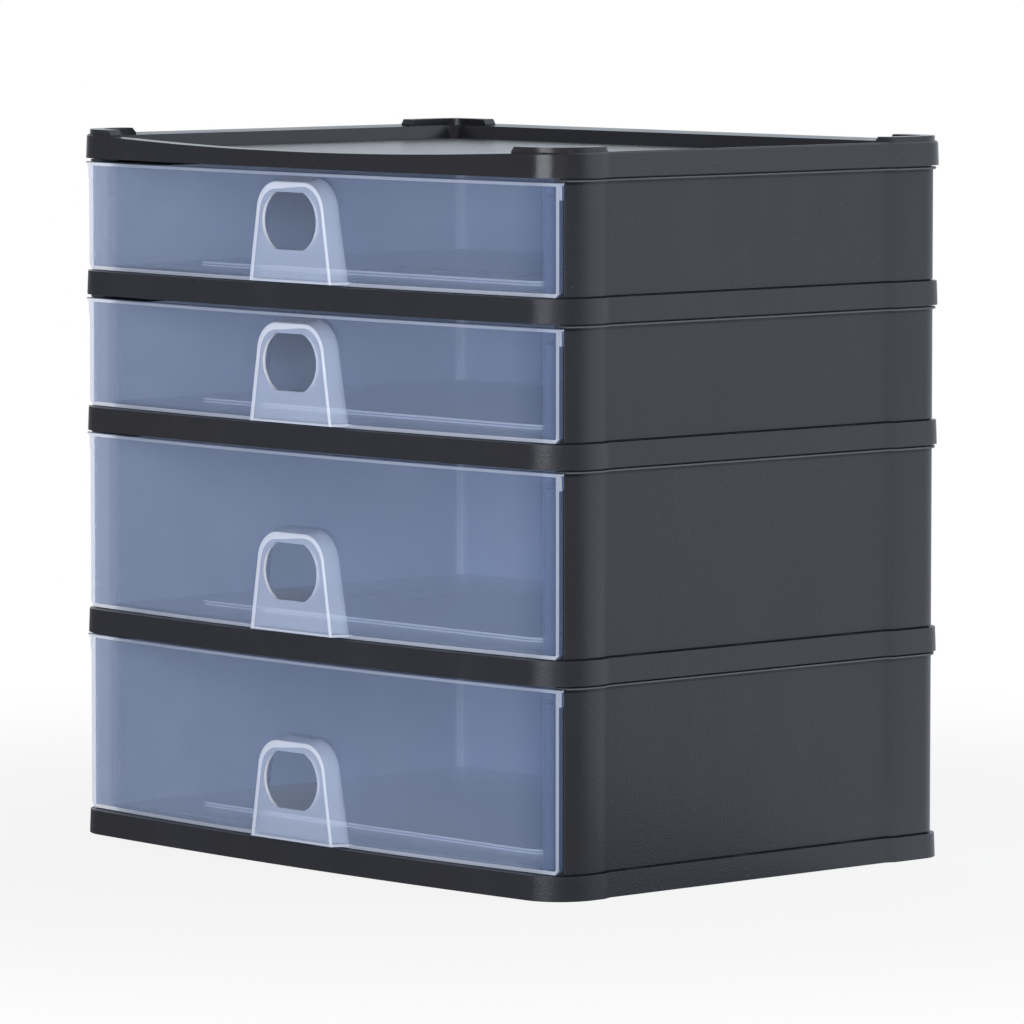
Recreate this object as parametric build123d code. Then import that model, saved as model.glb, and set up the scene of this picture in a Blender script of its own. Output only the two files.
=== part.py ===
from build123d import *
import math
import os

# Drawer tower for paper: five charcoal trays stacked on side walls and back
# panels, with two shallow and two deep translucent drawers sliding out at -Y.
# Millimetres, +Z up, origin on the floor under the middle of the plan.

# ---- plan outline shared by every stacked moulding ----
half_width = 206.0        # over the rounded corner pillars
pillar = 2.4              # pillars stand this far out from the flat sides
flat_half = half_width - pillar
front_mid_y = -148.5      # middle of the bowed front
bow_rise = 6.5            # the front's ends lie back by this
front_end_y = front_mid_y + bow_rise
rear_y = 152.4
front_round = 26.0        # corner rounds, front and rear
rear_round = 16.0
front_crease = 40.5       # length of a front pillar from the front's end
rear_crease = 45.4        # length of a rear pillar from the rear
front_crease_y = front_end_y + front_crease
rear_crease_y = rear_y - rear_crease
flank = 5.5               # length of the slope from pillar to flat side

# ---- heights ----
band = 13.5               # height of a tray moulding
deep_clear = 102.0        # clear height over the two lower trays
shallow_clear = 64.0      # clear height over the two upper trays

# ---- tray mouldings ----
skirt = 2.5               # wall of the tray's rim
rim_draft = 0.5           # the rim widens by this towards its lower edge
deck = 2.5                # plate of the tray
rib = 1.8                 # stiffening ribs under the deck
rib_drop = 7.0
rib_pitch = 80.0
rib_margin = 24.0         # ribs end this far behind the front
foot_round = 13.0         # radius of the moulded feet under the base
foot_inset = 26.0
centre_foot = 20.0        # radius of the middle foot

# ---- walls ----
wall_inset = 2.3          # wall skin sits back from the tray edge
wall = 2.5
flange_inset = 0.6        # bright ledge along the top of a wall
flange = 1.2
shadow = 1.0              # open line between ledge and tray above
tongue_inset = 3.2        # upstand that plugs into the tray above
tongue = 2.2
groove = 0.7              # fine groove along the foot of a wall
groove_depth = 1.0
post_return = 12.0
rear_wrap = 38.0          # a side wall ends this far in on the rear face
rear_wrap_x = half_width - rear_wrap
peg_length = 12.0         # feet of the walls in slots of the deck
peg_depth = 2.4
peg_fit = 0.3
peg_rows = (-80.0, 0.0, 80.0)
back_peg_columns = (-110.0, 0.0, 110.0)
panel_fit = 0.5
lap = 8.0                 # lap of the back panel behind the side walls

# ---- drawer fronts ----
end_gap = 7.6             # from the pillar's face in to the end of a front
drawer_half = half_width - end_gap
front_recess = 5.2        # fronts lie this far behind the trays' front
drawer_front_y = front_mid_y + front_recess
drawer_bow = 9.8          # how far a front's ends lie back
end_y = drawer_front_y + drawer_bow
drawer_lift = 0.5         # drawer's lower edge over the deck
deep_head = 1.6           # open line over a deep front
shallow_head = 2.2        # open line over a shallow front
rim_depth = 1.5
rim_top = 2.3
rim_bottom = 2.0
rim_side = 2.6
front_wall = 2.2
corner_cut = 3.0          # cut-off lower corners of the front
end_depth = 2.8           # thinner ends of the front, in front of the posts
tab = 0.8                 # tabs at the top of the ends
tab_height = 9.5
flare = 2.6               # flared tips of the top rim
flare_height = 3.6
flare_depth = 1.2

# ---- drawer body ----
side_gap = 14.9           # from the end of a front in to the drawer's side
body_half = drawer_half - side_gap
body_wall = 2.0
body_rear = rear_y - 15.4
body_round = 9.0
floor_raise = 1.0
floor = 2.0
body_top_drop = 3.0
rear_drop = 5.0           # rear wall lower than the sides
lip_drop = 9.0            # underside of the side lips under the drawer's top
lip = 2.0
lip_half = body_half + 6.7
lip_fit = 0.3
lip_play = 0.8
sheet_x = 150.0           # raised seat for the sheets
sheet_front = -99.0
sheet_rear = 107.0
sheet_raise = 2.4
sheet_round = 16.0        # corners of the seat

# ---- posts, runners and stops of the side walls, lugs of the drawers ----
post_y = end_y + end_depth + 0.5      # front face of the front posts
post_inner = lip_half + 0.8           # inner edge of the front posts
runner_inner = body_half + 3.0
runner = 2.2
guide = 1.8
runner_front = post_y + 19.2
runner_rear = rear_y - 34.4
stop_front = runner_front + 19.0
stop_length = 4.0
stop_inner = post_inner + 0.7
lug_half = stop_inner + 2.7           # lugs reach this far over the stops
lug_front = body_rear - 13.0
lug_length = 4.0

# ---- pull bump of a drawer, seen from the front ----
pull_front_y = drawer_front_y - 9.4
pull_lift = 1.0           # pull ends this far over the front's lower edge
pull_drop = 5.3           # and this far under a shallow front's upper edge
pull_foot = 34.3
pull_waist = 28.0
pull_shoulder = 24.3
pull_top = 11.5
pull_top_z = shallow_clear - drawer_lift - shallow_head - pull_drop
pull_shoulder_z = pull_top_z - 6.0
pull_waist_z = pull_top_z - 15.0
pull_draft = 4.4
pull_splay = 1.4          # the draft at the pull's foot, over the rest
pull_wall = 1.8
pull_edge = 1.5           # rounding along the pull's front
hole_half = pull_waist - 5.4
hole_height = 31.7
hole_round = 0.53 * hole_height
hole_z = pull_top_z - 21.4

# ---- lid ----
lid_proud = 0.4           # the lid stands out over the trays
lid_edge = 1.0            # broken upper edge of the lid
rim_ridge = 1.4           # the rim slopes inward from its outer ridge
rim_width = 9.5
rim_slope = 1.3
tray_draft = 2.5
tray_depth = 8.5
scoop = 4.5               # dip of the front rim in the middle
scoop_radius = 4050.0
scoop_back = 22.0
pad_inset = 1.4
pad_width = 8.0
pad_height = 2.8
pad_reach_x = 37.0        # length of a corner pad along the front or rear
pad_reach_y = 46.5        # and along the side
pad_slope = 2.0


def outline(inset, z=0.0):
    """Face of the plan outline, drawn in by inset, at height z."""
    r_front = front_round - inset
    r_rear = rear_round - inset
    fx = half_width - front_round
    fy = front_end_y + front_round
    rx = half_width - rear_round
    ry = rear_y - rear_round
    k = math.sqrt(0.5)
    out = half_width - inset
    side = flat_half - inset
    right = [
        ("arc", (fx, front_end_y + inset), (fx + k * r_front, fy - k * r_front), (out, fy)),
        ("line", (out, fy), (out, front_crease_y - flank)),
        ("line", (out, front_crease_y - flank), (side, front_crease_y)),
        ("line", (side, front_crease_y), (side, rear_crease_y)),
        ("line", (side, rear_crease_y), (out, rear_crease_y + flank)),
        ("line", (out, rear_crease_y + flank), (out, ry)),
        ("arc", (out, ry), (rx + k * r_rear, ry + k * r_rear), (rx, rear_y - inset)),
    ]
    edges = []
    for kind, *points in right:
        for s in (1, -1):
            moved = [(s * x, y, z) for x, y in points]
            if kind == "arc":
                edges.append(ThreePointArc(*moved))
            else:
                edges.append(Line(*moved))
    edges.append(ThreePointArc(
        (-fx, front_end_y + inset, z), (0, front_mid_y + inset, z), (fx, front_end_y + inset, z)))
    edges.append(Line((-rx, rear_y - inset, z), (rx, rear_y - inset, z)))
    return make_face(Wire.combine([e.edges()[0] for e in edges])[0])


def slab(inset, z0, z1):
    return extrude(outline(inset, z0), z1 - z0, dir=(0, 0, 1))


def ring(outer, inner, z0, z1):
    return slab(outer, z0, z1) - slab(inner, z0, z1)


def drafted(proud, z0, z1):
    """Full block of a moulding whose outer face widens downwards."""
    return loft([outline(-rim_draft - proud, z0), outline(-proud, z1)], ruled=True)


def box(x0, x1, y0, y1, z0, z1):
    size = (x1 - x0, y1 - y0, z1 - z0)
    return Pos((x0 + x1) / 2, (y0 + y1) / 2, (z0 + z1) / 2) * Box(*size)


def pin(x, y, radius, z0, z1):
    return Pos(x, y, (z0 + z1) / 2) * Cylinder(radius, z1 - z0)


def profile_xz(points, y0, y1):
    """Prism from a closed outline drawn in X and Z, running from y0 to y1."""
    face = make_face(Polyline(*[(x, y0, z) for x, z in points], close=True))
    return extrude(face, y1 - y0, dir=(0, 1, 0))


def profile_yz(points, x0, x1):
    face = make_face(Polyline(*[(x0, y, z) for y, z in points], close=True))
    return extrude(face, x1 - x0, dir=(1, 0, 0))


def peg_slots(z0, z1):
    """Slots for the feet of the walls that stand on a deck."""
    cuts = []
    outer = flat_half - wall_inset
    for y in peg_rows:
        for s in (1, -1):
            xs = sorted((s * (outer - wall - peg_fit), s * (outer + peg_fit)))
            cuts.append(box(xs[0], xs[1], y - peg_length / 2 - peg_fit, y + peg_length / 2 + peg_fit, z0, z1))
    back = rear_y - wall_inset
    for x in back_peg_columns:
        cuts.append(box(x - peg_length / 2 - peg_fit, x + peg_length / 2 + peg_fit,
                        back - wall - peg_fit, back + peg_fit, z0, z1))
    return cuts


# Rise of each tier: height of its deck and clear height over it, bottom first.
tiers = []
level = band
for clear in (deep_clear, deep_clear, shallow_clear, shallow_clear):
    tiers.append((level, clear))
    level += clear + band
lid_base = level - band
lid_top = level


def tray(z0):
    """One tray moulding: rim all round, deck on top, ribs under the deck."""
    z1 = z0 + band
    body = drafted(0, z0, z1) - slab(skirt, z0, z1) + slab(skirt / 2, z1 - deck, z1)
    inner = flat_half - tongue_inset - tongue - 1.0
    y0 = front_mid_y + rib_margin
    y1 = rear_y - tongue_inset - tongue - 1.0
    for i in (-1.5, -0.5, 0.5, 1.5):
        x = i * rib_pitch
        body += box(x - rib / 2, x + rib / 2, y0, y1, z1 - deck - rib_drop, z1 - deck)
    for y in (-rib_pitch, rib_pitch):
        body += box(-inner, inner, y - rib / 2, y + rib / 2, z1 - deck - rib_drop, z1 - deck)
    for cut in peg_slots(z1 - deck, z1):
        body -= cut
    return body


def base_feet(body):
    """Moulded feet that carry the base."""
    x = half_width - foot_inset
    for fy in (front_end_y + foot_inset, rear_y - foot_inset):
        for s in (1, -1):
            body += pin(s * x, fy, foot_round, 0, band - deck)
    return body + pin(0, 0, centre_foot, 0, band - deck)


def wall_ring(z0, z1, plug):
    """Skin, ledge and upstand of the walls of one tier, all the way round."""
    inner = wall_inset + wall
    skin = ring(wall_inset, inner, z0, z1 - shadow - flange)
    ledge = ring(flange_inset, inner, z1 - shadow - flange, z1 - shadow)
    stand = ring(tongue_inset, tongue_inset + tongue, z1 - shadow, z1 + plug)
    return skin + ledge + stand - ring(0, wall_inset + groove_depth, z0, z0 + groove)


def side_wall(z0, z1, plug, drawer_top):
    """Right-hand wall of one tier with its post, rear wrap, feet and runners."""
    keep = box(rear_wrap_x, half_width + 5, post_y, rear_y + 5, z0 - 1, z1 + plug + 1)
    body = wall_ring(z0, z1, plug) & keep
    head = z1 - shadow
    face = slab(wall_inset, z0, head)
    post = box(post_inner, half_width, post_y, post_y + wall, z0, head) & face
    post += box(post_inner, post_inner + wall, post_y, post_y + post_return, z0, head)
    body += post - ring(0, wall_inset + groove_depth, z0, z0 + groove)
    skin_in = flat_half - wall_inset - wall
    ledge_top = drawer_top - lip_drop - lip_fit
    guide_low = drawer_top - lip_drop + lip + lip_play
    body += box(runner_inner, skin_in + 0.5, runner_front, runner_rear, ledge_top - runner, ledge_top)
    body += box(runner_inner, skin_in + 0.5, runner_front, runner_rear, guide_low, guide_low + guide)
    body += box(stop_inner, skin_in + 0.5, stop_front, stop_front + stop_length, ledge_top, guide_low)
    for y in peg_rows:
        body += box(skin_in, skin_in + wall, y - peg_length / 2, y + peg_length / 2, z0 - peg_depth, z0)
    return body


def back_panel(z0, z1, plug):
    """Rear panel of one tier, lapped behind both side walls."""
    edge = rear_wrap_x - panel_fit
    inner = rear_y - wall_inset - wall
    keep = box(-edge, edge, inner - 2 * wall, rear_y + 5, z0 - 1, z1 + plug + 1)
    body = wall_ring(z0, z1, plug) & keep
    for s in (1, -1):
        xs = sorted((s * (edge - lap), s * (edge + lap)))
        body += box(xs[0], xs[1], inner - wall, inner, z0 + 1, z1 - shadow - flange - 1)
    for x in back_peg_columns:
        body += box(x - peg_length / 2, x + peg_length / 2, inner, inner + wall, z0 - peg_depth, z0)
    return body


def bow(inset_front, inset_back, half, z0, z1):
    """Curved plate behind the drawer's front line, between two depths."""
    ends = drawer_front_y + drawer_bow * (half / drawer_half) ** 2
    front = ThreePointArc((-half, ends + inset_front, z0), (0, drawer_front_y + inset_front, z0),
                          (half, ends + inset_front, z0))
    back = ThreePointArc((half, ends + inset_back, z0), (0, drawer_front_y + inset_back, z0),
                         (-half, ends + inset_back, z0))
    right = Line((half, ends + inset_front, z0), (half, ends + inset_back, z0))
    left = Line((-half, ends + inset_back, z0), (-half, ends + inset_front, z0))
    face = make_face(Wire.combine([e.edges()[0] for e in (front, right, back, left)])[0])
    return extrude(face, z1 - z0, dir=(0, 0, 1))


def pull_face(y, z0, grow, foot):
    """Arch of the pull in the plane y, grown outward by grow."""
    waist = (pull_waist + grow, z0 + pull_waist_z)
    shoulder = (pull_shoulder + 0.75 * grow, z0 + pull_shoulder_z + 0.6 * grow)
    top = (pull_top + 0.35 * grow, z0 + pull_top_z + 0.8 * grow)
    half_foot = pull_foot + pull_splay * grow
    edges = [Line((-half_foot, y, foot), (half_foot, y, foot))]
    for s in (1, -1):
        edges.append(Line((s * half_foot, y, foot), (s * waist[0], y, waist[1])))
        edges.append(ThreePointArc((s * waist[0], y, waist[1]), (s * shoulder[0], y, shoulder[1]),
                                   (s * top[0], y, top[1])))
    edges.append(Line((-top[0], y, top[1]), (top[0], y, top[1])))
    return make_face(Wire.combine([e.edges()[0] for e in edges])[0])


def drawer(z0, height):
    """One drawer moulding with its rimmed front, pull, lips and stepped floor."""
    zb = z0 + drawer_lift
    zt = zb + height
    depth = rim_depth + front_wall
    front = bow(0, depth, drawer_half, zb, zt)
    front -= bow(-1, rim_depth, drawer_half - rim_side, zb + rim_bottom, zt - rim_top)
    for s in (1, -1):
        corner = [(s * drawer_half, zb), (s * (drawer_half - corner_cut), zb),
                  (s * drawer_half, zb + corner_cut)]
        front -= profile_xz(corner, drawer_front_y - 5, end_y + 10)
        xs = sorted((s * lip_half, s * (drawer_half + 1)))
        front -= box(xs[0], xs[1], end_y + end_depth, end_y + 10, zb - 1, zt + 1)
        xs = sorted((s * (drawer_half - 1), s * (drawer_half + tab)))
        front += box(xs[0], xs[1], end_y, end_y + end_depth, zt - tab_height, zt)
        tip = [(s * (drawer_half - 1), zt), (s * (drawer_half + flare), zt),
               (s * (drawer_half + flare), zt - 1), (s * (drawer_half - 1), zt - flare_height)]
        front += profile_xz(tip, end_y, end_y + flare_depth)

    # tray body behind the front
    top = zt - body_top_drop
    low = zb + floor_raise
    length = body_rear - 2 * front_mid_y
    mid_y = body_rear - length / 2
    shell = extrude(
        Pos(0, mid_y, low) * RectangleRounded(2 * body_half, length, body_round), top - low)
    hollow = extrude(
        Pos(0, mid_y, low + floor)
        * RectangleRounded(2 * (body_half - body_wall), length - 2 * body_wall, body_round - body_wall),
        top - low)
    seat_y = (sheet_front + sheet_rear) / 2
    seat_length = sheet_rear - sheet_front
    seat = extrude(
        Pos(0, seat_y, low) * RectangleRounded(2 * sheet_x, seat_length, sheet_round), floor + sheet_raise)
    under = extrude(
        Pos(0, seat_y, low)
        * RectangleRounded(2 * (sheet_x - floor), seat_length - 2 * floor, sheet_round - floor), sheet_raise)
    body = (shell - hollow) + seat - under
    body -= box(-body_half + body_round, body_half - body_round, body_rear - body_wall - 1,
                body_rear + 1, top - rear_drop, top + 1)
    for s in (1, -1):
        lip_z = zt - lip_drop
        xs = sorted((s * (body_half - 1), s * lip_half))
        body += box(xs[0], xs[1], end_y - 2, body_rear - body_round, lip_z, lip_z + lip)
        xs = sorted((s * (lip_half - 1), s * lug_half))
        body += box(xs[0], xs[1], lug_front, lug_front + lug_length, lip_z, lip_z + lip)
    ahead = bow(1.5 * front_mid_y, rim_depth + 0.4 * front_wall, drawer_half + 40, low - 5, zt + 5)
    body -= ahead

    # pull moulded out of the front wall, open to the drawer behind
    root_y = drawer_front_y + rim_depth + 0.5 * front_wall
    foot = zb + pull_lift
    outer = loft([pull_face(pull_front_y, zb, 0, foot), pull_face(root_y, zb, pull_draft, foot)], ruled=True)
    rounded = [e for e in outer.edges()
               if abs(e.center().Y - pull_front_y) < 0.01 and e.center().Z > foot + 0.1]
    outer = fillet(rounded, pull_edge)
    back_y = drawer_front_y + depth + 2.0
    grow = pull_draft * (back_y - pull_front_y) / (root_y - pull_front_y)
    base = foot + pull_wall
    cavity = loft([pull_face(pull_front_y + pull_wall, zb, -pull_wall, base),
                   pull_face(back_y, zb, grow - pull_wall, base)], ruled=True)
    hole = extrude(Plane.XZ * Pos(0, zb + hole_z)
                   * SlotCenterToCenter(2 * (hole_half - hole_round), 2 * hole_round), 200)
    hole &= box(-pull_foot, pull_foot, 1.5 * front_mid_y, root_y,
                zb + hole_z - hole_height / 2, zb + hole_z + hole_height / 2)
    return (front + body + outer) - cavity - hole


def lid():
    """Top cover: rim all round with a sloping top, shallow tray, corner pads."""
    edge_z = lid_top - lid_edge
    body = drafted(lid_proud, lid_base, edge_z)
    body += loft([outline(-lid_proud, edge_z), outline(lid_edge - lid_proud, lid_top)], ruled=True)
    floor_z = lid_top - tray_depth
    rim_z = lid_top - rim_slope
    body -= loft([outline(rim_width + tray_draft, floor_z), outline(rim_width, rim_z)], ruled=True)
    body -= loft([outline(rim_width, rim_z), outline(rim_ridge, lid_top)], ruled=True)
    body -= slab(skirt, lid_base, floor_z - deck)
    dip = Pos(0, front_mid_y, lid_top - scoop + scoop_radius) * (
        Rot(90, 0, 0) * Cylinder(scoop_radius, 2 * scoop_back))
    dip &= box(-half_width, half_width, front_mid_y - 5, front_mid_y + scoop_back, lid_top - 2 * scoop, lid_top + 5)
    body -= dip
    z1 = lid_top + pad_height
    pads = ring(pad_inset, pad_inset + pad_width, lid_top - scoop, z1)
    pad_x = half_width - pad_reach_x
    front_pad_y = front_mid_y + pad_reach_y
    rear_pad_y = rear_y - pad_reach_y
    pads &= (box(pad_x, half_width, front_mid_y, front_pad_y, 0, z1)
             + box(pad_x, half_width, rear_pad_y, rear_y, 0, z1)
             + box(-half_width, -pad_x, front_mid_y, front_pad_y, 0, z1)
             + box(-half_width, -pad_x, rear_pad_y, rear_y, 0, z1))
    for s in (1, -1):
        wedge_x = [(s * pad_x, lid_top), (s * pad_x, z1), (s * (pad_x + pad_slope), z1)]
        pads -= profile_xz(wedge_x, front_mid_y - 5, rear_y + 5)
    for y, s in ((front_pad_y, -1), (rear_pad_y, 1)):
        wedge_y = [(y, lid_top), (y, z1), (y + s * pad_slope, z1)]
        pads -= profile_yz(wedge_y, -half_width - 5, half_width + 5)
    return body + pads


os.makedirs("parts", exist_ok=True)


def save(shape, name):
    solids = shape.solids()
    whole = solids[0] if len(solids) == 1 else Compound(children=list(solids))
    export_step(whole, "parts/" + name + ".step")


save(base_feet(tray(0)), "base_tray")
save(lid(), "top_cover")
plug_tray = band - deck
plug_lid = band - tray_depth - deck
for i, (z0, clear) in enumerate(tiers):
    n = i + 1
    z1 = z0 + clear
    last = n == len(tiers)
    plug = plug_lid if last else plug_tray
    tall = clear - drawer_lift - (deep_head if clear == deep_clear else shallow_head)
    if not last:
        save(tray(z1), "shelf_tray_" + str(n))
    right = side_wall(z0, z1, plug, z0 + drawer_lift + tall)
    save(right, "side_wall_right_" + str(n))
    save(mirror(right, about=Plane.YZ), "side_wall_left_" + str(n))
    save(back_panel(z0, z1, plug), "back_panel_" + str(n))
    save(drawer(z0, tall), "drawer_" + str(n))
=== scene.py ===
import math

import bpy
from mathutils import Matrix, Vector


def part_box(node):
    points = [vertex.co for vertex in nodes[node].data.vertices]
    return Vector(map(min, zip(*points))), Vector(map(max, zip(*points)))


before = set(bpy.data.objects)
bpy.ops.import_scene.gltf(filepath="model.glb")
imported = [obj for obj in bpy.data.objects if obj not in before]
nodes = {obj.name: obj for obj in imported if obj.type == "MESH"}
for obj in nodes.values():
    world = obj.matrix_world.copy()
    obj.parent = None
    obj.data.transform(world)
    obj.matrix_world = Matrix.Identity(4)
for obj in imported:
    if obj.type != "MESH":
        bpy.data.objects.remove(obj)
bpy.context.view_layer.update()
scene = bpy.context.scene

# ---- Camera ----
# A long lens four metres off to the right front, a little above the lid, so that the bands
# of the front run down to the right and those of the side run up.
camera_data = bpy.data.cameras.new("camera")
camera_data.lens = 257.5
camera_data.sensor_width = 36
camera_data.shift_x = 0.0015
camera_data.shift_y = 0.0005
camera_data.clip_end = 50
camera = bpy.data.objects.new("camera", camera_data)
camera.location = (3.0596, -2.7472, 0.5439)
camera.rotation_euler = (math.radians(90 - 4.945), 0.0, math.radians(47.97))
scene.collection.objects.link(camera)
scene.camera = camera
scene.view_settings.view_transform = "Standard"


# ---- Studio ----
# A white sweep behind the tower and a dim room in front of it: the sides and the lid's tray
# reflect the sweep, the fronts reflect the room. Low soft boxes shine into the drawers.
class Plan:
    """A node tree, with one method that adds a node to it and one that mixes two colours."""

    def __init__(self, tree):
        self.tree = tree
        tree.nodes.clear()

    def node(self, kind, settings=None, sockets=None, output=0):
        made = self.tree.nodes.new(kind)
        for name, value in (settings or {}).items():
            setattr(made, name, value)
        for name, value in (sockets or {}).items():
            if isinstance(value, Reading):
                self.tree.links.new(value.socket, made.inputs[name])
            else:
                made.inputs[name].default_value = value
        return Reading(self, made.outputs[output]) if made.outputs else None

    def mix(self, share, under, over):
        """The colour under, with a share of the colour over."""
        return self.node("ShaderNodeMix", {"data_type": "RGBA"}, {0: share, 6: under, 7: over}, 2)


class Reading:
    """An output of a node, for use in plain arithmetic."""

    def __init__(self, plan, socket):
        self.plan = plan
        self.socket = socket

    def calc(self, operation, *terms):
        return self.plan.node("ShaderNodeMath", {"operation": operation}, dict(enumerate(terms)))

    def __add__(self, other):
        return self.calc("ADD", self, other)

    def __radd__(self, other):
        return self.calc("ADD", other, self)

    def __sub__(self, other):
        return self.calc("SUBTRACT", self, other)

    def __rsub__(self, other):
        return self.calc("SUBTRACT", other, self)

    def __mul__(self, other):
        return self.calc("MULTIPLY", self, other)

    def __rmul__(self, other):
        return self.calc("MULTIPLY", other, self)

    def __truediv__(self, other):
        return self.calc("DIVIDE", self, other)

    def __abs__(self):
        return self.calc("ABSOLUTE", self)

    def part(self, index):
        """The x, y or z of a vector."""
        return self.plan.node("ShaderNodeSeparateXYZ", None, {0: self}, index)

    def low(self, other):
        return self.calc("MINIMUM", self, other)

    def high(self, other):
        return self.calc("MAXIMUM", self, other)

    def rise(self, start, end):
        """0 below start, 1 above end, and a smooth rise in between."""
        return self.plan.node("ShaderNodeMapRange", {"interpolation_type": "SMOOTHSTEP"},
                              {"Value": self, "From Min": start, "From Max": end})

    def within(self, start, end, soft):
        """1 between start and end, with soft edges."""
        return self.rise(start - soft, start + soft) * (1 - self.rise(end - soft, end + soft))


rear_tone = (0.84, 0.91, 1.0, 1)
front_tone = (0.21, 0.21, 0.235, 1)
white_tone = (1, 1, 1, 1)
sweep_edge = 0.62         # how far round to the rear, as a sine, the sweep is at its full tone
world = bpy.data.worlds.new("studio")
scene.world = world
world.use_nodes = True
sky = Plan(world.node_tree)
across = sky.node("ShaderNodeTexCoord").part(1)
room = sky.mix(across.rise(0.0, sweep_edge), front_tone, rear_tone)
dim = sky.node("ShaderNodeBackground", None, {"Color": room, "Strength": 1.0})
white = sky.node("ShaderNodeBackground", None, {"Color": white_tone, "Strength": 1.0})
looked = sky.node("ShaderNodeLightPath").high(
    sky.node("ShaderNodeLightPath", None, None, "Is Transmission Ray"))
shown = sky.node("ShaderNodeMixShader", None, {0: looked, 1: dim, 2: white})
sky.node("ShaderNodeOutputWorld", None, {0: shown})

aim_height = 0.20         # the middle of the tower


def soft_box(name, azimuth, height, distance, size, power, colour, mirrored):
    """A soft box at an azimuth counted from -Y towards +X, aimed at the tower."""
    lamp = bpy.data.lights.new(name, "AREA")
    lamp.shape = "RECTANGLE"
    lamp.size, lamp.size_y = size
    lamp.energy = power
    lamp.color = colour
    holder = bpy.data.objects.new(name, lamp)
    turn = math.radians(azimuth)
    holder.location = (distance * math.sin(turn), -distance * math.cos(turn), height)
    aim = Vector((0.0, 0.0, aim_height)) - holder.location
    holder.rotation_euler = aim.to_track_quat("-Z", "Y").to_euler()
    holder.visible_camera = False
    holder.visible_glossy = mirrored
    scene.collection.objects.link(holder)


soft_box("key_box", 12, 0.62, 3.2, (1.9, 1.1), 28, (0.90, 0.94, 1.0), True)
soft_box("fill_box", 48, 0.62, 3.2, (1.3, 1.1), 60, (0.98, 0.99, 1.0), False)
soft_box("rear_box", 122, 1.0, 2.8, (1.3, 1.8), 13, (0.90, 0.95, 1.0), False)

floor_mesh = bpy.data.meshes.new("floor")
reach = 8.0
corners = [(-reach, -reach, 0), (reach, -reach, 0), (reach, reach, 0), (-reach, reach, 0)]
floor_mesh.from_pydata(corners, [], [(0, 1, 2, 3)])
floor = bpy.data.objects.new("floor", floor_mesh)
scene.collection.objects.link(floor)
paper_tone = (0.74, 0.75, 0.77, 1)
bare_near = 0.86          # share of plain white round the tower, where its shadow shows
shadow_from = 0.35
shadow_to = 0.9
paper = bpy.data.materials.new("white_paper")
paper.use_nodes = True
plan = Plan(paper.node_tree)
place = plan.node("ShaderNodeTexCoord", None, None, 3)
x = place.part(0)
y = place.part(1)
away = x.calc("SQRT", x * x + y * y)
tone = plan.mix((y / away).rise(0.0, sweep_edge), front_tone, rear_tone)
looked = plan.node("ShaderNodeLightPath").high(
    plan.node("ShaderNodeLightPath", None, None, "Is Transmission Ray"))
mirrored = plan.node("ShaderNodeLightPath", None, None, "Is Glossy Ray")
lit = plan.node("ShaderNodeBsdfDiffuse", None, {"Color": paper_tone})
sweep = plan.node("ShaderNodeEmission", None, {"Color": tone, "Strength": 1.0})
glow = plan.node("ShaderNodeEmission", None, {"Color": white_tone, "Strength": 1.0})
bare = bare_near + away.rise(shadow_from, shadow_to) * (1 - bare_near)
blend = plan.node("ShaderNodeMixShader", None, {0: mirrored, 1: lit, 2: sweep})
blend = plan.node("ShaderNodeMixShader", None, {0: looked * bare, 1: blend, 2: glow})
plan.node("ShaderNodeOutputMaterial", None, {0: blend})
floor_mesh.materials.append(paper)


# ---- Base tray ----
# The lowest band: an injection-moulded polystyrene tray, charcoal with a fine matte grain.
# Its rim and its moulded feet stand on the desk.
band_edge = 0.0004        # radius of the edges


def moulding(node, finish, edge):
    """Round the edges of a moulded node a little and give it its finish."""
    piece = nodes[node]
    piece.data.materials.clear()
    piece.data.materials.append(finish)
    for face in piece.data.polygons:
        face.use_smooth = True
    weld = piece.modifiers.new("weld", "WELD")
    weld.merge_threshold = 0.00001
    flat = piece.modifiers.new("flat", "DECIMATE")
    flat.decimate_type = "DISSOLVE"
    flat.angle_limit = math.radians(0.5)
    bevel = piece.modifiers.new("bevel", "BEVEL")
    bevel.width = edge
    bevel.segments = 2
    bevel.limit_method = "ANGLE"
    bevel.angle_limit = math.radians(30)
    bevel.harden_normals = False
    normals = piece.modifiers.new("normals", "WEIGHTED_NORMAL")
    normals.keep_sharp = True


def noise(plan, where, scale, detail, stretch=None, turn=None, roughness=0.5):
    """Noise of a number of cells per metre, stretched and turned where asked."""
    if stretch:
        where = plan.node("ShaderNodeMapping", None,
                          {0: where, "Rotation": turn or (0, 0, 0), "Scale": stretch})
    return plan.node("ShaderNodeTexNoise", None,
                     {"Vector": where, "Scale": scale, "Detail": detail, "Roughness": roughness})


charcoal_warm = (0.0165, 0.0162, 0.0190, 1)
charcoal_cool = (0.0162, 0.0180, 0.0235, 1)
charcoal_worn = (0.105, 0.108, 0.120, 1)
cloud_cells = 7           # cells of noise to the metre
smear_cells = 22
grain_cells = 1150
dust_cells = 420
scratch_cells = 60
grain_height = 0.00028
grain_strength = 0.6
line_blur = 0.0002        # softness of the edge of a painted line


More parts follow.
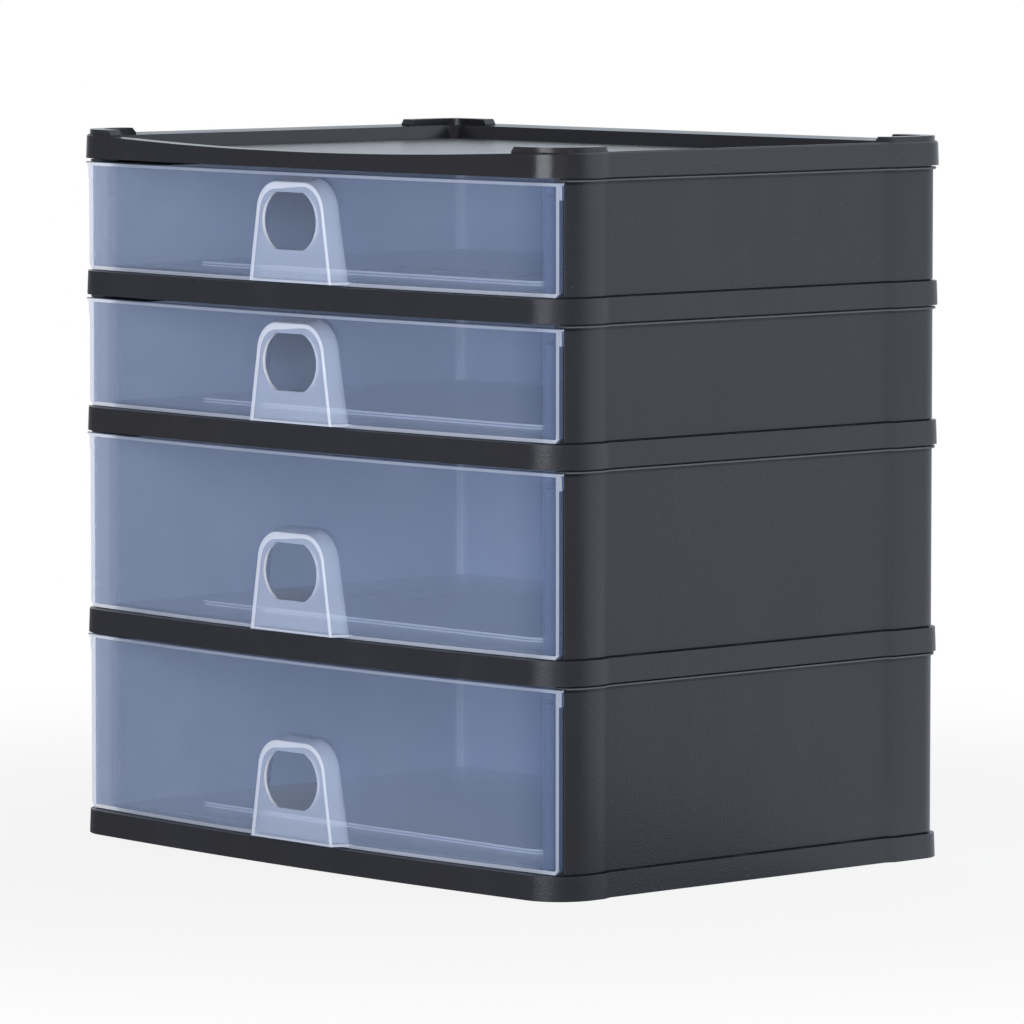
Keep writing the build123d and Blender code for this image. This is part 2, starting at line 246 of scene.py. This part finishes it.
def charcoal(name, seed, smear=1.0, polish=0.0, painted_marks=(), grained=grain_strength):
    """Charcoal polystyrene: matte grain, faint smears, dust and a few hairlines.

    Each mark is a painted line of light or shade, a span of height and its tone, and says whether only level
    faces take it.
    """
    made = bpy.data.materials.new(name)
    made.use_nodes = True
    plan = Plan(made.node_tree)
    place = plan.node("ShaderNodeTexCoord", None, None, 3)
    shifted = plan.node("ShaderNodeVectorMath", {"operation": "ADD"}, {0: place, 1: (seed, 2.3 * seed, 0)})

    cloud = noise(plan, shifted, cloud_cells, 2)
    smears = noise(plan, shifted, smear_cells, 3, (1, 1, 0.35), roughness=0.6)
    grain = noise(plan, shifted, grain_cells, 1)
    dust = noise(plan, shifted, dust_cells, 0).rise(0.81, 0.86) * cloud.rise(0.50, 0.60)
    hair = noise(plan, shifted, scratch_cells, 1, (1, 1, 26), (0.5, 0.6, 0.2)).rise(0.745, 0.77) * (
        smears.rise(0.50, 0.60))
    edge = plan.node("ShaderNodeNewGeometry", None, None, "Pointiness").rise(0.52, 0.60)
    base = plan.mix(cloud.rise(0.3, 0.7), charcoal_warm, charcoal_cool)
    worn = (edge * 0.22 + smears.rise(0.50, 0.75) * 0.05 * smear + dust * 0.3 + hair * 0.18).low(1.0)
    colour = plan.mix(worn, base, charcoal_worn)
    # painted light: each mark paints a highlight, shadow or sheen line into the colour
    for foot, top, tone, level_only in painted_marks:
        share = place.part(2).within(foot, top, line_blur)
        if level_only:
            share = share * plan.node("ShaderNodeTexCoord", None, None, 1).part(2).rise(0.7, 0.9)
        colour = plan.mix(share, colour, tone)
    rough = (0.30 - polish) + smears.rise(0.35, 0.75) * 0.08 * smear + grain * 0.10 + dust * 0.2
    bump = plan.node("ShaderNodeBump", None,
                     {"Strength": grained, "Distance": grain_height, "Height": grain})
    shell = plan.node("ShaderNodeBsdfPrincipled", None,
                      {"Base Color": colour, "Roughness": rough, "Specular IOR Level": 0.62, "Normal": bump})
    plan.node("ShaderNodeOutputMaterial", None, {0: shell})
    return made


moulding("base_tray", charcoal("charcoal_base", 0.0), band_edge)

# ---- Side walls and back panels ----
# Each tier has a right and a left wall with corner pillars, and a back panel between them.
# The same charcoal plastic, with more smears on the broad sides where hands hold the tower.
# A painted highlight runs along the ledge at the top of each wall, with a painted shadow line under it.
tiers = (1, 2, 3, 4)
wall_edge = 0.0003
ledge_highlight_tone = (0.085, 0.09, 0.10, 1)
ledge_shadow_tone = (0.003, 0.003, 0.004, 1)
ledge_highlight_span = (0.0019, 0.0011)     # down from the band above the wall
ledge_shadow_span = (0.0036, 0.0023)
for tier in tiers:
    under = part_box("top_cover" if tier == 4 else f"shelf_tray_{tier}")[0][2]
    # painted light: a pale highlight line on the ledge and a dark shadow line under it
    painted_marks = ((under - ledge_highlight_span[0], under - ledge_highlight_span[1], ledge_highlight_tone, False),
             (under - ledge_shadow_span[0], under - ledge_shadow_span[1], ledge_shadow_tone, False))
    for side, seed in (("right", 3.1), ("left", 5.7)):
        name = f"side_wall_{side}_{tier}"
        moulding(name, charcoal("charcoal_" + name, seed + tier, 1.5, painted_marks=painted_marks), wall_edge)
    name = f"back_panel_{tier}"
    moulding(name, charcoal("charcoal_" + name, 8.3 + tier, painted_marks=painted_marks), wall_edge)

# ---- Shelf trays ----
# Three more bands like the base, which carry the tiers above and close the ones below.
# The same charcoal mouldings, held between the walls' ledges and feet.
for tier in tiers[:3]:
    name = f"shelf_tray_{tier}"
    moulding(name, charcoal("charcoal_" + name, 11.9 + tier), band_edge)

# ---- Top cover ----
# The lid: a charcoal tray for small things, with a rim that dips in front and a raised pad
# at each corner. It is smoother than the bands, and its floor is painted paler, a painted sheen for the
# sweep's reflection.
lid_edge = 0.0005
lid_polish = 0.12
lid_grain = 0.15
lid_floor = 0.391
lid_floor_sheen_tone = (0.034, 0.032, 0.034, 1)
# painted sheen: the lid's floor painted paler than the charcoal
floor_sheen_mark = (lid_floor - 0.0005, lid_floor + 0.0010, lid_floor_sheen_tone, True)
moulding("top_cover", charcoal("charcoal_lid", 17.3, 0.5, lid_polish, (floor_sheen_mark,), lid_grain), lid_edge)


# ---- Drawers ----
# Each drawer is one moulding in clear blue-grey polystyrene: a rimmed, bowed front with an
# arched pull, sides, rear and stepped floor. Rims and the pull are thicker and are painted paler, partly as
# painted highlight.
drawer_edge = 0.0003
front_y = -0.1433
front_bow = 0.0098
front_half = 0.1984
rim_top = 0.0023
rim_bottom = 0.0020
rim_side = 0.0026
rim_side_left = 0.0040    # the left rim is seen from its thick side
rim_depth = 0.0015
tab_height = 0.0095
pull_front = -0.1527
arch_radius = 0.0166      # the pull's arch, centred arch_x either side at height arch_z
arch_x = 0.0115
arch_z = 0.0394
arch_splay = 0.157        # its legs spread by this below splay_z
splay_z = 0.0410
stroke_left = 0.0034      # width of the painted highlight line along the pull's outline
stroke_right = 0.0015
seat_x = 0.150            # raised seat in the floor, with rounded corners
seat_middle_y = 0.004
seat_half_y = 0.103
seat_round = 0.016
seat_top = 0.0054
seat_foot = 0.0031
side_half = 0.1835        # over the drawer's sides
wall_depth = (0.0040, 0.0060)     # here the front ends and the drawer behind it begins
left_end = (-0.168, -0.186)       # spans of X over which the front is painted paler (painted sheen) and darker (painted shade)
right_end = (0.158, 0.194)
haze_cells = 9
flow_cells = 30
streak_cells = 45

front_blue = (0.215, 0.275, 0.425, 1)
front_blue_pale = (0.240, 0.300, 0.450, 1)
inner_lit_blue = (0.46, 0.55, 0.74, 1)
floor_lit_blue = (0.84, 0.90, 1.0, 1)
left_sheen_blue = (0.60, 0.66, 0.78, 1)
right_shade_blue = (0.10, 0.15, 0.29, 1)
pull_thick_lit_blue = (0.58, 0.66, 0.84, 1)
highlight_blue = (0.74, 0.78, 0.88, 1)
glint_blue = (0.95, 0.96, 1.0, 1)
end_shade_blue = (0.06, 0.09, 0.15, 1)
gap_shade_blue = (0.02, 0.03, 0.06, 1)
cast_blue = (0.93, 0.95, 0.98, 1)


def smoke_blue(name, node, seed):
    """Translucent blue-grey plastic of one drawer, laid out from its own box."""
    low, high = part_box(node)
    made = bpy.data.materials.new(name)
    made.use_nodes = True
    plan = Plan(made.node_tree)
    place = plan.node("ShaderNodeTexCoord", None, None, 3)
    x = place.part(0)
    y = place.part(1)
    from_top = high[2] - place.part(2)
    above = place.part(2) - low[2]
    out = abs(x)
    depth = y - (front_y + x * x * (front_bow / front_half ** 2))
    normal = plan.node("ShaderNodeTexCoord", None, None, 1)
    facing = abs(normal.part(1))

    # Parts of the moulding: 1 where the face belongs to it, 0 elsewhere.
    behind = depth.rise(*wall_depth)
    floor_up = behind * abs(normal.part(2)).rise(0.7, 0.95)
    top_rim = from_top.rise(0.0003, 0.0007) * (1 - from_top.rise(rim_top - 0.0002, rim_top + 0.0002))
    bottom_rim = 1 - above.rise(rim_bottom + 0.0001, rim_bottom + 0.0005)
    left_rim = (x * -1).rise(front_half - rim_side_left, front_half - rim_side_left + 0.0006)
    side_rim = out.rise(front_half - rim_side, front_half - rim_side + 0.0006)
    rim = (1 - depth.rise(rim_depth - 0.0006, rim_depth - 0.0001)) * (
        top_rim.high(bottom_rim).high(left_rim).high(side_rim))
    # painted shade: the end face below the tab, darkened
    end = abs(normal.part(0)).rise(0.6, 0.9) * out.rise(front_half - 0.0008, front_half - 0.0003) * (
        from_top.rise(tab_height - 0.0003, tab_height + 0.0003))
    left = x.rise(*left_end) * (1 - behind)

    # The pull: its outline as a distance inwards, the painted highlight along it and the hole's wall,
    # painted pale.
    pull = 1 - depth.rise(-0.0009, -0.0003)
    aside = (out - arch_x - (splay_z - above).high(0.0) * arch_splay).high(0.0)
    over = (above - arch_z).high(0.0)
    inside = arch_radius - x.calc("SQRT", aside * aside + over * over)
    band = stroke_left - x.rise(-0.015, 0.015) * (stroke_left - stroke_right) + over * 0.04
    near_front = 1 - y.rise(pull_front + 0.0004, pull_front + 0.0009)
    outline_highlight = pull * near_front * (1 - (inside - band).rise(-0.0002, 0.0003)) * facing.rise(0.2, 0.4)
    hole_wall_highlight = pull * (1 - facing.rise(0.1, 0.3)) * (
        1 - y.rise(pull_front + 0.0018, pull_front + 0.0024)) * inside.rise(0.003, 0.004)

    # Painted highlight lines on the mouldings: the seat's front edge, the rear corners and the floor's front
    # crease.
    corner_x = (out - (seat_x - seat_round)).high(0.0)
    corner_y = (abs(y - seat_middle_y) - (seat_half_y - seat_round)).high(0.0)
    margin = seat_round - x.calc("SQRT", corner_x * corner_x + corner_y * corner_y)
    seat_lines = above.within(seat_top - 0.0010, seat_top + 0.0004, 0.0003).high(
        above.within(seat_foot - 0.0005, seat_foot + 0.0005, 0.0002) * 0.8)
    seat_highlight = margin.within(-0.0004, 0.0024, 0.0003) * (1 - y.rise(-0.086, -0.070)) * seat_lines
    corner_highlight = out.within(side_half - 0.0050, side_half - 0.0008, 0.0004) * (
        y.within(high[1] - 0.0064, high[1] - 0.0018, 0.0004))
    crease_highlight = depth.within(0.0155, 0.0215, 0.0012) * floor_up * (1 - out.rise(0.172, 0.178))

    shifted = plan.node("ShaderNodeVectorMath", {"operation": "ADD"},
                        {0: place, 1: (seed, seed, 1.7 * seed)})
    haze = noise(plan, shifted, haze_cells, 2, (1, 1, 0.6))
    flow = noise(plan, shifted, flow_cells, 2, (0.35, 1, 1))
    hair = noise(plan, shifted, streak_cells, 1, (1, 1, 30), (0.25, 0.9, 0.1)).rise(0.72, 0.75) * (
        haze.rise(0.50, 0.60))

    body = plan.mix(haze.rise(0.3, 0.7), front_blue, front_blue_pale)
    # painted light: the inside, and its floor more so, painted paler than the front for light scattered
    # through the plastic
    body = plan.mix(behind, body, inner_lit_blue)
    body = plan.mix(floor_up, body, floor_lit_blue)
    # painted sheen: the front paler towards its left end
    body = plan.mix(x.rise(-0.05, -0.21) * 0.14 + left * 0.28, body, left_sheen_blue)
    # painted shade: the front darker towards its right end
    body = plan.mix(x.rise(*right_end) * 0.7, body, right_shade_blue)
    # the pull paler: partly its thicker plastic, partly painted light
    body = plan.mix(pull * 0.85, body, pull_thick_lit_blue)
    lower = 1 - above.rise(rim_bottom, rim_bottom + 0.0010)
    # painted highlights on the rims, the pull's outline, the hole's wall and the moulding lines, with real
    # hairline scratches
    rim_highlight_share = 0.50 + x.rise(-0.150, -0.196) * 0.50 + lower * 0.22 + x.rise(0.178, 0.196) * 0.16
    highlight_and_scratches = (rim * rim_highlight_share).high(outline_highlight * 0.90).high(hole_wall_highlight).high(seat_highlight).high(
        corner_highlight * 0.35).high(crease_highlight * 0.7).high(hair * 0.16).low(1.0)
    colour = plan.mix(highlight_and_scratches, body, highlight_blue)
    # painted glints: near white on the hole's wall and the left rim
    colour = plan.mix((hole_wall_highlight * 0.7).high(rim * left * 0.8), colour, glint_blue)
    # painted shade on the end face below the tab
    colour = plan.mix(end, colour, end_shade_blue)
    # painted shade: the front's top edge darkened where the gap above it is in shadow
    colour = plan.mix((1 - from_top.rise(0.0003, 0.0008)) * (1 - behind) * 0.85, colour, gap_shade_blue)

    cover = (0.30 + flow.rise(0.35, 0.7) * 0.04 + pull * 0.09 + behind * 0.25 + floor_up * 0.30
             + left * 0.45 + highlight_and_scratches * 0.5).low(0.97)
    rough = 0.22 + haze * 0.08
    bump = plan.node("ShaderNodeBump", None, {"Strength": 0.04, "Distance": 0.0002, "Height": flow})
    shadowing = plan.node("ShaderNodeLightPath", None, None, "Is Shadow Ray")
    plastic = plan.node("ShaderNodeBsdfPrincipled", None,
                        {"Base Color": colour, "Roughness": rough, "Alpha": cover, "Normal": bump})
    clear = plan.node("ShaderNodeBsdfTransparent", None, {"Color": cast_blue})
    through = plan.node("ShaderNodeMixShader", None, {0: shadowing * 0.9, 1: plastic, 2: clear})
    plan.node("ShaderNodeOutputMaterial", None, {0: through})
    return made


for tier in tiers:
    node = f"drawer_{tier}"
    moulding(node, smoke_blue(f"smoke_blue_{tier}", node, 1.9 * tier), drawer_edge)
